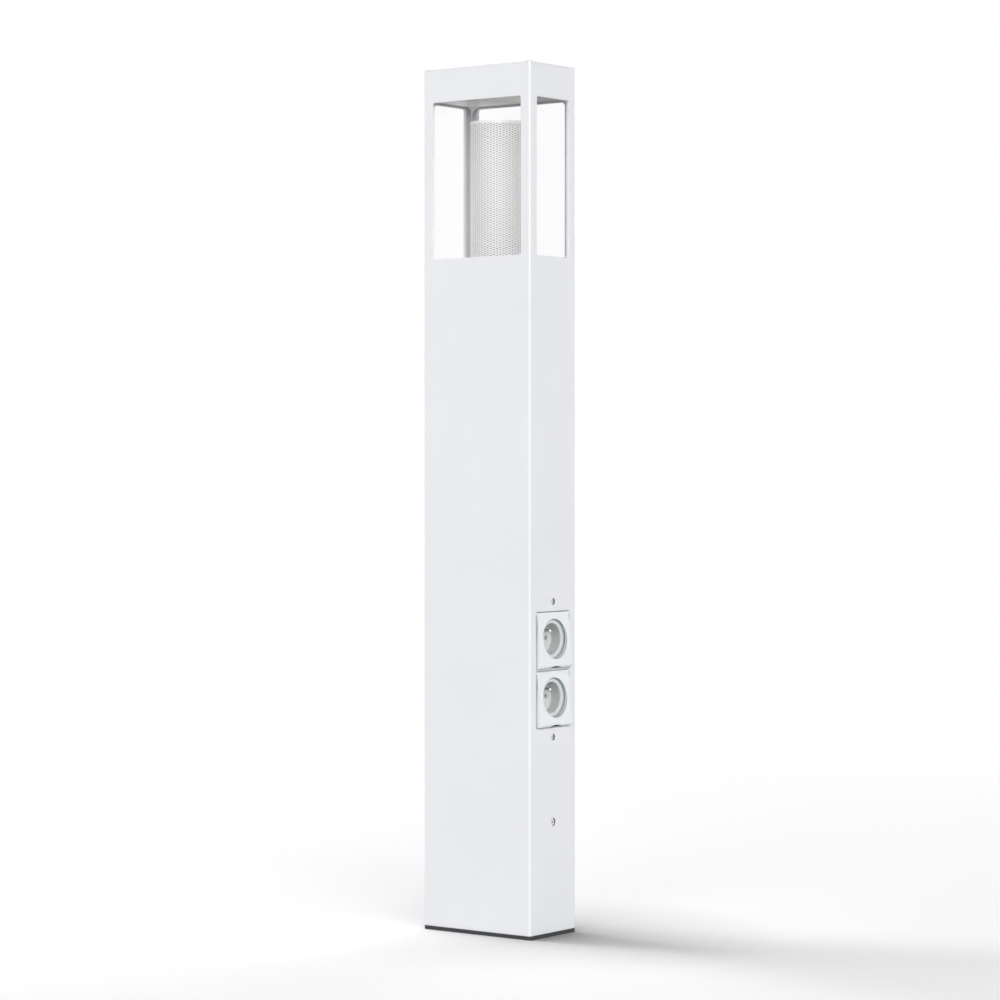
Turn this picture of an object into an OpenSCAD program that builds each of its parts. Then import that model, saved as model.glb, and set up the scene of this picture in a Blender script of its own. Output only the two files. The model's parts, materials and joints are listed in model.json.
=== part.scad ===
// Garden socket post: a rectangular tube on an anchored base plate, with a glazed
// lantern at its head and two lidded socket outlets low on one narrow side.
// Millimetres. Z is up, X runs along the wide faces and Y along the narrow ones.
// The underside of the base plate lies at z = 0 and the outlets face +X.

/* [Post] */
// Width of the wide faces
post_w = 170; // [164:1:190]
// Width of the narrow faces
post_d = 98; // [96:1:110]
// Height of the tube with its corner ears
post_h = 1100; // [1000:5:1250]
// Wall thickness of the tube
wall = 3; // [2.5:0.1:3.5]
// Rounding of the outer vertical edges
edge_r = 2.5; // [2:0.1:4]
// Rounding of the inner vertical edges
bore_r = 1; // [0.6:0.1:2]

/* [Foot] */
// Thickness of the base plate
base_t = 5; // [5:0.5:8]
// Anchor hole spacing along X
anchor_x = 110; // [100:2:120]
// Anchor hole spacing along Y
anchor_y = 64; // [60:1:68]
// Anchor hole diameter
anchor_d = 9; // [7:0.5:11]
// Diameter of the cable entry through plate and bracket
entry_d = 36; // [30:1:40]
// Bore of the grommet in the cable entry
grommet_bore = 22; // [16:1:24]
// Thickness of the grommet flange
grommet_flange = 2.5; // [1.5:0.5:4]
// Width of the foot bracket
bracket_w = 40; // [36:1:44]
// Sheet thickness of the foot bracket
bracket_t = 4; // [3:0.5:5]
// Height of the foot bracket
bracket_h = 160; // [155:1:190]
// Bracket screw spacing along X
bracket_screw_x = 104; // [96:2:110]
// Bracket screw spacing along Y
bracket_screw_y = 20; // [16:1:22]
// Bracket screw thread diameter
bracket_screw_d = 6; // [5:0.5:6]
// Depth of the countersunk bracket screw heads
bracket_head_h = 3; // [2.5:0.1:3.5]
// Height of the foot screws above the ground
foot_screw_z = 145; // [142:1:150]
// Foot screw thread diameter
foot_screw_d = 5; // [4:0.5:6]
// Diameter of the earth stud
stud_d = 6; // [5:0.5:8]
// Length of the screws beyond their nuts
screw_tail = 1; // [0.5:0.1:2]
// Tube wall left under the sunk screw heads
screw_seat = 1; // [0.8:0.1:1.2]
// Free length of the earth stud
stud_l = 18; // [14:1:22]
// Height of the earth stud above the ground
stud_z = 60; // [40:1:90]

/* [Terminal box] */
// Depth of the box along X
box_x = 40; // [36:1:44]
// Width of the box along Y
box_y = 54; // [50:1:60]
// Height of the box
box_z = 80; // [72:1:84]
// Height of the underside of the box above the ground
box_z0 = 46; // [42:1:50]
// Wall thickness of the box
box_t = 2.5; // [2:0.1:3]
// Thickness of the box lid
box_lid_t = 3; // [2:0.5:4]
// Number of poles of the terminal block
poles = 5; // [3:1:5]
// Pitch of the poles
pole_pitch = 8; // [7:0.5:8.5]
// Depth of the terminal block
pole_depth = 13; // [10:0.5:16]
// Height of the terminal block
pole_h = 20; // [16:1:26]
// Diameter of a terminal opening
pole_d = 4; // [3:0.1:5]
// Diameter of the gland hole in the box
gland_d = 16; // [12:1:18]
// Width of the gland flange beyond the hole
gland_flange = 4; // [3:0.5:5]
// Length of a gland outside the box
gland_l = 18; // [14:1:22]
// Cable bore of a gland
gland_bore = 9; // [6:0.5:10]

/* [Lantern] */
// Height of the windows
window_h = 200; // [180:1:220]
// Height of the band above the windows
top_band = 43.5; // [40:0.5:55]
// Width of the columns beside the windows
column_w = 14.5; // [14:0.5:18]
// Corner rounding of the windows
window_r = 3; // [2:0.5:6]
// Glass thickness
pane_t = 4; // [3:0.5:5]
// Overlap of the glass behind the tube
pane_lap = 6; // [4:0.5:6]
// Thickness of the glass seals
seal_t = 1; // [0.5:0.1:1.5]
// Side of the blocks that hold the panes at their foot
bar_s = 6; // [4:0.5:6]
// Reach of the pane clips along the wide faces
clip_x = 12; // [8:0.5:14]
// Reach of the pane clips along the narrow faces
clip_y = 6; // [5:0.5:8]
// Sheet thickness of the pane clips
clip_t = 1.5; // [1:0.1:2]
// Thickness of the lantern floor
floor_t = 3; // [2:0.5:4]
// Size of the ledges under the floor
ledge_s = 12; // [10:1:16]
// Thickness of the ledges
ledge_t = 2; // [1.5:0.5:3]
// Length of the ledges
ledge_l = 120; // [100:2:140]
// Height of the ceiling above the window tops
ceiling_rise = 2.5; // [1:0.5:5]
// Sheet thickness of the ceiling tray
tray_t = 2; // [1.5:0.5:3]
// Height of the tray rim
tray_rim = 15; // [8:1:20]
// Diameter of the tray bosses
boss_d = 8; // [7:0.5:10]
// Distance of the bosses from the tray edges
boss_in = 8; // [7:0.5:12]
// Thickness of the top cap
cap_t = 2; // [2:0.1:3]
// Depth of the countersunk cap screw heads
cap_head_h = 1.4; // [1:0.1:1.8]
// Side of the corner ears
ear = 5; // [4.5:0.1:8]
// Height of the ears above the cap
ear_rise = 1; // [0.5:0.1:2]
// Gap between cap and ears
ear_gap = 1.2; // [0.3:0.1:1.5]
// Cap screw thread diameter
cap_screw_d = 3; // [2.5:0.1:3.5]
// Length of the cap screws
cap_screw_l = 16; // [10:1:24]

/* [Lamp] */
// Outer diameter of the diffuser
diffuser_d = 74; // [68:1:75]
// Wall thickness of the diffuser
diffuser_t = 2; // [1.5:0.1:3]
// Distance from the window tops down to the diffuser top
diffuser_drop = 25.5; // [20:0.5:40]
// Height of the plain ring at the diffuser top
ring_h = 3; // [2.5:0.1:5]
// Wall of the diffuser ring
ring_t = 0.6; // [0.4:0.1:0.8]
// Height of the collar at the diffuser foot
collar_h = 5; // [3:0.5:5.5]
// Width of the collar
collar_w = 2.5; // [1.5:0.1:2.5]
// Diameter of the lamp holder
holder_d = 40; // [38:1:44]
// Height of the lamp holder
holder_h = 56; // [50:1:60]
// Diameter of the lamp holder foot
holder_foot_d = 50; // [46:1:56]
// Height of the lamp holder foot
holder_foot_h = 6; // [4:0.5:8]
// Diameter of the cable hole under the lamp holder
holder_hole_d = 13; // [8:1:20]
// Diameter of the lamp screw cap
lamp_cap_d = 26.4; // [25:0.1:27]
// Length of the lamp screw cap
lamp_cap_h = 26; // [22:1:28]
// Diameter of the contact at the tip of the lamp cap
lamp_tip_d = 10; // [8:0.5:14]
// Length of the contact at the tip of the lamp cap
lamp_tip_h = 3.6; // [2:0.1:5]
// Shoulder where the lamp body leaves its cap
lamp_neck = 1; // [0.5:0.1:2]
// Largest diameter of the lamp
lamp_d = 58; // [52:1:60]
// Height of the lamp body
lamp_body_h = 44; // [36:1:50]

/* [Outlets] */
// Height of the middle of the outlet pair above the ground
socket_z = 338.7; // [320:0.1:420]
// Distance between the two outlets
socket_pitch = 74.4; // [73:0.1:80]
// Width of a lid
lid_w = 67.2; // [66:0.1:70]
// Height of a lid
lid_h = 71.2; // [70:0.1:72]
// How far the lower edge of a lid stands out of the tube
lid_out = 6.5; // [5:0.1:9]
// Rounding of the lower lip of a lid
lip_r = 4.5; // [3:0.1:5]
// Wall thickness of a lid
lid_wall = 2; // [1.5:0.1:2.2]
// Wall of the seat round the clear disc
seat_wall = 1.5; // [1:0.1:1.8]
// Rounding of the front side edges of a lid
lid_edge_r = 1.2; // [0.6:0.1:1.4]
// Gap between the frame face and the back of a lid
lid_gap = 0.4; // [0.3:0.05:0.6]
// Hole in a lid
lid_hole_d = 50.5; // [46:0.1:51]
// Shoulder round the clear disc
disc_lap = 2; // [1.2:0.1:2]
// Thickness of the clear disc
disc_t = 1.5; // [1:0.1:1.5]
// Width of the finger notch
notch_w = 30; // [20:1:40]
// Height of the finger notch
notch_h = 2.8; // [1.5:0.1:3.2]
// Depth of the frame face below the tube face
frame_sink = 1.5; // [1.3:0.1:1.8]
// Groove between the lids and the sides of the cut-out
side_groove = 2.6; // [2.4:0.1:4]
// Gap between the lids and the ends of the cut-out
end_gap = 1; // [1:0.1:4]
// Corner rounding of the cut-out
cut_r = 3; // [2:0.5:5]
// Radius of the hinge barrels
hinge_r = 2.2; // [2:0.1:2.4]
// Hinge pin diameter
hinge_pin_d = 2; // [1.6:0.1:2.2]
// Diameter of a well
well_d = 40; // [39:0.1:41]
// Depth of a well
well_depth = 16; // [15:0.5:18]
// Depth of the well rim below the tube face
well_sink = 2.2; // [2:0.1:3]
// Wall thickness of a well
well_t = 4; // [3:0.1:4]
// Height of the well centre above the lid centre
well_rise = 1.5; // [0.5:0.1:1.8]
// Distance between the two contact holes
contact_span = 19; // [18:0.5:20]
// Diameter of a contact hole
contact_d = 5.5; // [5:0.1:5.5]
// Diameter of the earth pin
earth_d = 4.8; // [4.4:0.1:4.8]
// Height of the earth pin above the contact holes
earth_rise = 10; // [10:0.1:11]
// Distance of the pin tip below the well rim
earth_sink = 0.6; // [0.5:0.1:3]
// Height of the floor step above the contact holes
step_rise = 7; // [6:0.1:7.2]
// Depth of the floor step
step_t = 2; // [1:0.1:2.5]
// Thickness of the contact block
block_t = 4; // [4:0.1:6]
// Thickness of a shutter
shutter_t = 2.2; // [1.5:0.1:3]
// How far a shutter reaches past the holes
shutter_lap = 1.5; // [1:0.1:2]
// Height of a shutter
shutter_h = 10; // [9:0.1:10]
// Travel of a shutter
shutter_travel = 7; // [6.6:0.1:7.4]
// Wire diameter of a shutter spring
spring_wire = 0.4; // [0.3:0.05:0.45]
// Number of turns of a shutter spring
spring_turns = 6; // [4:1:7]
// Wall thickness of a rear housing
housing_t = 2; // [1.5:0.1:2.5]
// Length of a contact sleeve
sleeve_l = 18; // [14:1:22]
// Radial grip of a contact sleeve, smaller than its contact hole
sleeve_grip = 0.2; // [0.1:0.05:0.3]
// Wall thickness of a contact sleeve
sleeve_t = 1.1; // [0.6:0.1:1.2]
// Thickness of the gasket behind the wall
gasket_t = 1; // [0.8:0.1:1.5]
// Thickness of the frame flange
flange_t = 3; // [3:0.5:4]
// Distance of the carrier sides from the tube walls
carrier_gap = 4; // [3:0.5:5]
// Width of the well collar beyond its housing
collar_lap = 1.5; // [1:0.1:2]
// Thickness of the carrier plate
carrier_t = 2; // [1.5:0.5:3]
// Distance between the two carrier screws
screw_span = 172; // [168:1:180]
// Distance of the carrier ends from the screws
screw_margin = 9.5; // [8:0.5:12]
// Carrier screw thread diameter
carrier_screw_d = 4; // [3:0.5:5]

/* [Fits] */
// Clearance between parts that slip together
slip = 0.3; // [0.25:0.01:0.4]
// Radial clearance of pins in their bores
run_fit = 0.05; // [0.03:0.01:0.08]
// Radial clearance of screws in plain holes
screw_fit = 0.25; // [0.15:0.01:0.4]

/* [Hidden] */
$fn = 72;
eps = 1;
half_w = post_w / 2;
half_d = post_d / 2;
in_w = half_w - wall;
in_d = half_d - wall;
post_top = base_t + post_h;
cap_top = post_top - ear_rise;
rim_z = cap_top - cap_t;

arm_x1 = in_w - slip;
arm_x0 = arm_x1 - bracket_t;
web_top = base_t + bracket_t;
nut_h_ratio = 0.8;
nut_af_ratio = 1.7;
head_d_ratio = 1.9;
head_h_ratio = 0.2;
key_d_ratio = 0.7;
key_h_ratio = 0.3;
screw_x = in_w + screw_seat;

box_x0 = -arm_x0;
box_x1 = box_x0 + box_x;
box_z1 = box_z0 + box_z;
gland_x = box_x0 + box_x / 2;
gland_nut_d = gland_d + 2 * gland_flange;

win_x = post_w - 2 * column_w;
win_y = post_d - 2 * column_w;
win_z1 = post_top - top_band;
win_z0 = win_z1 - window_h;
win_mid = (win_z0 + win_z1) / 2;
floor_z = win_z0 - pane_lap;
glass_y = in_d - seal_t - pane_t;
glass_x = in_w - seal_t - pane_t;
pane_w = win_x + 2 * pane_lap;
pane_d = min(win_y + 2 * pane_lap, 2 * (glass_y - slip));
pane_h = window_h + 2 * pane_lap;
tray_z = win_z1 + ceiling_rise;
tray_x = 2 * (glass_x - slip);
tray_y = 2 * (glass_y - slip);
boss_x = tray_x / 2 - boss_in;
boss_y = tray_y / 2 - boss_in;

diff_r = diffuser_d / 2;
diff_z1 = win_z1 - diffuser_drop;
diff_cap = 1;
lamp_z0 = floor_z + holder_h - lamp_cap_h + lamp_tip_h;
lamp_z1 = lamp_z0 + lamp_cap_h;
lamp_z2 = lamp_z1 + lamp_body_h;
globe_r = lamp_d / 2;
neck_r = lamp_cap_d / 2 + lamp_neck;

x_frame = half_w - frame_sink;
x_gasket = in_w - gasket_t;
x_flange = x_gasket - flange_t;
x_carrier = x_flange - carrier_t;
x_collar = x_carrier - housing_t;
x_rim = half_w - well_sink;
x_floor = x_rim - well_depth;
x_block = x_floor - block_t;
x_shut1 = x_block - slip;
x_shut0 = x_shut1 - shutter_t;
x_part1 = x_shut0 - slip;
x_part0 = x_part1 - housing_t;
x_back1 = x_part1 - sleeve_l;
x_back0 = x_back1 - housing_t;
well_r = well_d / 2;
well_out = well_r + well_t;
house_in = well_out + slip;
house_out = house_in + housing_t;
collar_s = 2 * (house_out + collar_lap);
hinge_bore = hinge_pin_d / 2 + run_fit;
x_lid = x_frame + lid_gap;
cut_w = lid_w + 2 * side_groove;
cut_h = socket_pitch + lid_h + 2 * end_gap;
carrier_w = 2 * (in_d - carrier_gap);
carrier_h = screw_span + 2 * screw_margin;
boss_w = cut_w - 2 * slip;
boss_h = cut_h - 2 * slip;
sleeve_in = contact_d / 2 - sleeve_grip;
sleeve_out = sleeve_in + sleeve_t;
shutter_hole = contact_d / 2 + slip;
shutter_y0 = -contact_span / 2 - shutter_travel - shutter_hole - shutter_lap;
shutter_y1 = contact_span / 2 + contact_d / 2 + shutter_lap;
shutter_slot = shutter_t + 2 * slip;
spring_x = x_part1 + shutter_slot / 2;
spring_y0 = shutter_y1 + run_fit + spring_wire / 2;
spring_y1 = house_in - run_fit - spring_wire / 2;
spring_r = shutter_slot / 2 - slip - spring_wire / 2;
spring_rings = 8;
spring_sides = 6;
notch_r = (pow(notch_w / 2, 2) + pow(notch_h, 2)) / (2 * notch_h);
lid_front = lid_out + frame_sink;
lid_foot = hinge_r - lid_h;
lip_z = lid_foot + lip_r;
lid_tilt = atan2(lid_front - hinge_r, -lip_z);
disc_r = lid_hole_d / 2 + disc_lap;
seat_z = well_rise - lid_h / 2 + hinge_r;

white = [0.91, 0.92, 0.93];
tray_grey = [0.80, 0.80, 0.79];
plastic = [0.93, 0.94, 0.95];
frame_grey = [0.62, 0.64, 0.66];
dark = [0.24, 0.25, 0.26];
steel = [0.72, 0.73, 0.75];
zinc = [0.60, 0.62, 0.64];
brass = [0.80, 0.65, 0.30];
rubber = [0.16, 0.16, 0.17];
glass = [0.80, 0.90, 0.92, 0.35];
opal = [0.96, 0.96, 0.94];

function lid_z(k) = socket_z + k * socket_pitch / 2;
function well_z(k) = lid_z(k) + well_rise;
function hinge_z(k) = lid_z(k) + lid_h / 2 - hinge_r;

// points along the middle of a spring's wire, and round one of its rings
spring_steps = spring_turns * spring_rings;
function spring_point(i) =
    let (a = 360 * i / spring_rings)
    [spring_r * cos(a), spring_y0 + (spring_y1 - spring_y0) * i / spring_steps, spring_r * sin(a)];
function spring_ring(i) =
    let (a = 360 * i / spring_rings, p = spring_point(i))
    [for (j = [0 : spring_sides - 1])
        let (b = 360 * j / spring_sides, out = cos(b) * spring_wire / 2)
        p + [out * cos(a), sin(b) * spring_wire / 2, out * sin(a)]];

// least gap between the wire of a spring and its next turns
spring_gap = min([for (i = [0 : spring_steps], j = [i + spring_rings / 2 : spring_steps])
    norm(spring_point(i) - spring_point(j))]) - spring_wire;
echo(spring_gap = spring_gap);

// rectangle with rounded corners, centred
module rounded(w, h, r) {
    square([w - 2 * r, h], center = true);
    square([w, h - 2 * r], center = true);
    for (sx = [-1, 1], sy = [-1, 1])
        translate([sx * (w / 2 - r), sy * (h / 2 - r)])
            circle(r);
}

// upright plate with its faces across X, from x0 to x1
module plate_x(x0, x1, w, h, r, z) {
    translate([x0, 0, z])
        rotate([90, 0, 90])
            linear_extrude(x1 - x0)
                rounded(w, h, r);
}

// round bar along X, from x0 to x1
module rod_x(r, x0, x1, y, z) {
    translate([x0, y, z])
        rotate([0, 90, 0])
            cylinder(r = r, h = x1 - x0);
}

// round bar along Y, centred
module rod_y(r, l, x, z) {
    translate([x, 0, z])
        rotate([90, 0, 0])
            cylinder(r = r, h = l, center = true);
}

// block given by its limits
module block(x0, x1, y0, y1, z0, z1) {
    translate([x0, y0, z0])
        cube([x1 - x0, y1 - y0, z1 - z0]);
}

// four copies, mirrored about both middle planes
module at_corners(x, y) {
    for (sx = [0, 1], sy = [0, 1])
        mirror([sx, 0, 0])
            mirror([0, sy, 0])
                translate([x, y, 0])
                    children();
}

// low head screw along -Z with its seat at z = 0
module low_screw(d, l) {
    difference() {
        union() {
            cylinder(d = d * head_d_ratio, h = d * head_h_ratio);
            translate([0, 0, -l])
                cylinder(d = d, h = l + d * head_h_ratio);
        }
        translate([0, 0, -d * key_h_ratio])
            cylinder(d = d * key_d_ratio, h = d, $fn = 6);
    }
}

// hole for a low head screw through the wall at +X
module sunk_hole(d, z) {
    rod_x(d / 2 + screw_fit, in_w - eps, half_w + eps, 0, z);
    rod_x(d * head_d_ratio / 2 + screw_fit, screw_x, half_w + eps, 0, z);
}

// countersunk screw along -Z with its head face at z = 0
module flat_screw(d, head, l) {
    difference() {
        union() {
            translate([0, 0, -head])
                cylinder(r1 = d / 2, r2 = d / 2 + head, h = head);
            translate([0, 0, -l])
                cylinder(d = d, h = l - head);
        }
        translate([0, 0, -head / 2])
            cylinder(d = d * key_d_ratio, h = d, $fn = 6);
    }
}

// hexagon nut on z = 0, growing upwards
module nut(d) {
    difference() {
        cylinder(d = d * nut_af_ratio / cos(30), h = d * nut_h_ratio, $fn = 6);
        translate([0, 0, -eps])
            cylinder(r = d / 2 + run_fit, h = d * nut_h_ratio + 2 * eps);
    }
}

module base_plate() {
    color(dark)
        difference() {
            linear_extrude(base_t)
                rounded(post_w, post_d, edge_r);
            translate([0, 0, -eps])
                cylinder(d = entry_d, h = base_t + 2 * eps);
            at_corners(anchor_x / 2, anchor_y / 2)
                translate([0, 0, -eps])
                    cylinder(d = anchor_d, h = base_t + 2 * eps);
            at_corners(bracket_screw_x / 2, bracket_screw_y / 2) {
                translate([0, 0, -eps])
                    cylinder(r = bracket_screw_d / 2 + screw_fit, h = base_t + 2 * eps);
                cylinder(r1 = bracket_screw_d / 2 + bracket_head_h + screw_fit,
                         r2 = bracket_screw_d / 2 + screw_fit, h = bracket_head_h);
            }
        }
}

module cable_grommet() {
    color(rubber)
        difference() {
            union() {
                translate([0, 0, base_t / 4])
                    cylinder(d = entry_d - 2 * run_fit, h = web_top - base_t / 4);
                translate([0, 0, web_top])
                    cylinder(d = entry_d + 2 * grommet_flange, h = grommet_flange);
            }
            translate([0, 0, -eps])
                cylinder(d = grommet_bore, h = web_top + grommet_flange + 2 * eps);
        }
}

module foot_bracket() {
    color(zinc)
        difference() {
            union() {
                block(-arm_x1, arm_x1, -bracket_w / 2, bracket_w / 2, base_t, web_top);
                for (s = [-1, 1])
                    translate([s * (arm_x0 + arm_x1) / 2, 0, base_t + bracket_h / 2])
                        cube([bracket_t, bracket_w, bracket_h], center = true);
            }
            cylinder(d = entry_d, h = web_top + eps);
            at_corners(bracket_screw_x / 2, bracket_screw_y / 2)
                cylinder(r = bracket_screw_d / 2 + run_fit, h = web_top + eps);
            rod_x(foot_screw_d / 2 + run_fit, -half_w, half_w, 0, foot_screw_z);
        }
}

module bracket_screws() {
    color(steel)
        at_corners(bracket_screw_x / 2, bracket_screw_y / 2)
            mirror([0, 0, 1])
                flat_screw(bracket_screw_d, bracket_head_h,
                           web_top + bracket_screw_d * nut_h_ratio + screw_tail);
}

module bracket_nuts() {
    color(steel)
        at_corners(bracket_screw_x / 2, bracket_screw_y / 2)
            translate([0, 0, web_top])
                nut(bracket_screw_d);
}

module foot_screws() {
    color(steel)
        for (s = [0, 1])
            mirror([s, 0, 0])
                translate([screw_x, 0, foot_screw_z])
                    rotate([0, 90, 0])
                        low_screw(foot_screw_d,
                                  screw_x - arm_x0 + foot_screw_d * nut_h_ratio + screw_tail);
}

module foot_nuts() {
    color(steel)
        for (s = [0, 1])
            mirror([s, 0, 0])
                translate([arm_x0, 0, foot_screw_z])
                    rotate([0, -90, 0])
                        nut(foot_screw_d);
}

module earth_stud() {
    color(brass)
        rod_x(stud_d / 2, arm_x0 - stud_l, arm_x0, 0, stud_z);
}

module earth_nut() {
    color(brass)
        translate([arm_x0 - stud_l / 2, 0, stud_z])
            rotate([0, 90, 0])
                nut(stud_d);
}

module terminal_box() {
    color(frame_grey)
        difference() {
            block(box_x0, box_x1, -box_y / 2, box_y / 2, box_z0, box_z1);
            block(box_x0 + box_t, box_x1 + eps, box_t - box_y / 2, box_y / 2 - box_t,
                  box_z0 + box_t, box_z1 - box_t);
            translate([gland_x, 0, box_z0 - eps])
                cylinder(d = gland_d, h = box_z + 2 * eps);
        }
}

module terminal_lid() {
    color(frame_grey)
        block(box_x1, box_x1 + box_lid_t, -box_y / 2, box_y / 2, box_z0, box_z1);
}

module terminal_block() {
    mid = box_z0 + box_z / 2;
    color(plastic)
        difference() {
            translate([box_x0 + box_t, -poles * pole_pitch / 2, mid - pole_h / 2])
                cube([pole_depth, poles * pole_pitch, pole_h]);
            for (i = [0 : poles - 1])
                rod_x(pole_d / 2, box_x0 + box_t + pole_depth / 2, box_x1,
                      (i + 0.5 - poles / 2) * pole_pitch, mid);
        }
}

// gland pointing up from z = 0, with its stub below
module gland() {
    difference() {
        union() {
            cylinder(d = gland_nut_d, h = gland_l / 2, $fn = 6);
            translate([0, 0, gland_l / 2])
                cylinder(d = gland_nut_d * cos(30), h = gland_l / 2);
            translate([0, 0, -2 * box_t])
                cylinder(d = gland_d - 2 * run_fit, h = 2 * box_t);
        }
        translate([0, 0, -2 * box_t - eps])
            cylinder(d = gland_bore, h = gland_l + 2 * box_t + 2 * eps);
    }
}

module cable_glands() {
    color(dark) {
        translate([gland_x, 0, box_z1])
            gland();
        translate([gland_x, 0, box_z0])
            mirror([0, 0, 1])
                gland();
    }
}

module tube_section() {
    difference() {
        rounded(post_w, post_d, edge_r);
        rounded(2 * in_w, 2 * in_d, bore_r);
    }
}

module post() {
    color(white)
        difference() {
            union() {
                translate([0, 0, base_t])
                    linear_extrude(rim_z - base_t)
                        tube_section();
                translate([0, 0, rim_z - eps])
                    linear_extrude(post_top - rim_z + eps)
                        intersection() {
                            tube_section();
                            at_corners(half_w, half_d)
                                square(2 * ear, center = true);
                        }
            }
            translate([0, 0, win_mid])
                rotate([90, 0, 0])
                    linear_extrude(post_d + 2 * eps, center = true)
                        rounded(win_x, window_h, window_r);
            plate_x(-half_w - eps, half_w + eps, win_y, window_h, window_r, win_mid);
            plate_x(in_w - eps, half_w + eps, cut_w, cut_h, cut_r, socket_z);
            for (s = [-1, 1])
                sunk_hole(carrier_screw_d, socket_z + s * screw_span / 2);
            for (s = [0, 1])
                mirror([s, 0, 0])
                    sunk_hole(foot_screw_d, foot_screw_z);
        }
}

module floor_ledges() {
    color(zinc)
        for (s = [0, 1])
            mirror([0, s, 0])
                translate([0, 0, floor_z - floor_t]) {
                    block(-ledge_l / 2, ledge_l / 2, in_d - ledge_t, in_d, -ledge_s, 0);
                    block(-ledge_l / 2, ledge_l / 2, in_d - ledge_s, in_d, -ledge_t, 0);
                }
}

module lantern_floor() {
    color(white)
        difference() {
            translate([0, 0, floor_z - floor_t])
                linear_extrude(floor_t)
                    rounded(2 * (in_w - slip), 2 * (in_d - slip), bore_r);
            translate([0, 0, floor_z - floor_t - eps])
                cylinder(d = holder_hole_d, h = floor_t + 2 * eps);
        }
}

// upright sheet across Y with its outer face at distance y
module sheet_y(y, t) {
    translate([-pane_w / 2, y - t, floor_z])
        cube([pane_w, t, pane_h]);
}

// upright sheet across X with its outer face at distance x
module sheet_x(x, t) {
    translate([x - t, -pane_d / 2, floor_z])
        cube([t, pane_d, pane_h]);
}

module pane_front() {
    color(glass)
        mirror([0, 1, 0])
            sheet_y(in_d - seal_t, pane_t);
}

module pane_rear() {
    color(glass)
        sheet_y(in_d - seal_t, pane_t);
}

module pane_left() {
    color(glass)
        mirror([1, 0, 0])
            sheet_x(in_w - seal_t, pane_t);
}

module pane_right() {
    color(glass)
        sheet_x(in_w - seal_t, pane_t);
}

module wide_seal() {
    difference() {
        sheet_y(in_d, seal_t);
        translate([0, in_d, win_mid])
            rotate([90, 0, 0])
                linear_extrude(4 * seal_t, center = true)
                    rounded(win_x, window_h, window_r);
    }
}

module narrow_seal() {
    difference() {
        sheet_x(in_w, seal_t);
        plate_x(in_w - 2 * seal_t, in_w + eps, win_y, window_h, window_r, win_mid);
    }
}

module seal_front() {
    color(plastic)
        mirror([0, 1, 0])
            wide_seal();
}

module seal_rear() {
    color(plastic)
        wide_seal();
}

module seal_left() {
    color(plastic)
        mirror([1, 0, 0])
            narrow_seal();
}

module seal_right() {
    color(plastic)
        narrow_seal();
}

// leg of a pane clip below z = 0, with a curved inner edge, reaching from the corner along -X
module clip_leg(reach) {
    rotate([90, 0, 0])
        linear_extrude(clip_t)
            difference() {
                translate([-reach, -reach])
                    square(reach);
                translate([-reach, -reach])
                    circle(reach - clip_t);
            }
}

module pane_retainers() {
    color(white)
        at_corners(glass_x, glass_y) {
            translate([-bar_s, -bar_s, floor_z])
                cube([bar_s, bar_s, pane_lap]);
            translate([0, 0, tray_z]) {
                clip_leg(clip_x);
                mirror([1, -1, 0])
                    clip_leg(clip_y);
            }
        }
}

module ceiling_tray() {
    color(tray_grey)
        difference() {
            union() {
                translate([0, 0, tray_z])
                    linear_extrude(tray_t)
                        square([tray_x, tray_y], center = true);
                translate([0, 0, tray_z])
                    linear_extrude(tray_rim)
                        difference() {
                            square([tray_x, tray_y], center = true);
                            square([tray_x - 2 * tray_t, tray_y - 2 * tray_t], center = true);
                        }
                at_corners(boss_x, boss_y)
                    translate([0, 0, tray_z])
                        cylinder(d = boss_d, h = rim_z - tray_z);
            }
            at_corners(boss_x, boss_y)
                translate([0, 0, cap_top - cap_screw_l - eps])
                    cylinder(r = cap_screw_d / 2 + run_fit, h = cap_screw_l + 2 * eps);
        }
}

module top_cap() {
    color(white)
        difference() {
            translate([0, 0, rim_z])
                linear_extrude(cap_t)
                    difference() {
                        rounded(post_w, post_d, edge_r);
                        at_corners(half_w, half_d)
                            square(2 * (ear + ear_gap), center = true);
                    }
            at_corners(boss_x, boss_y) {
                translate([0, 0, rim_z - eps])
                    cylinder(r = cap_screw_d / 2 + screw_fit, h = cap_t + 2 * eps);
                translate([0, 0, cap_top - cap_head_h])
                    cylinder(r1 = cap_screw_d / 2 + screw_fit,
                             r2 = cap_screw_d / 2 + cap_head_h + screw_fit, h = cap_head_h);
            }
        }
}

module cap_screws() {
    color(steel)
        at_corners(boss_x, boss_y)
            translate([0, 0, cap_top])
                flat_screw(cap_screw_d, cap_head_h, cap_screw_l);
}

module diffuser() {
    color(opal)
        translate([0, 0, floor_z])
            difference() {
                cylinder(r = diff_r, h = diff_z1 - diff_cap - floor_z);
                translate([0, 0, -eps])
                    cylinder(r = diff_r - diffuser_t, h = diff_z1 - floor_z + 2 * eps);
            }
}

module diffuser_collar() {
    color(white)
        translate([0, 0, floor_z])
            difference() {
                cylinder(r = diff_r + slip + collar_w, h = collar_h);
                translate([0, 0, -eps])
                    cylinder(r = diff_r + slip, h = collar_h + 2 * eps);
            }
}

module diffuser_ring() {
    inner = diff_r - diffuser_t - run_fit;
    outer = diff_r + run_fit;
    color(opal)
        translate([0, 0, diff_z1])
            rotate_extrude()
                difference() {
                    translate([inner - ring_t, -ring_h])
                        square([outer - inner + 2 * ring_t, ring_h]);
                    translate([inner, -ring_h - eps])
                        square([outer - inner, ring_h - diff_cap + eps]);
                }
}

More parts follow.
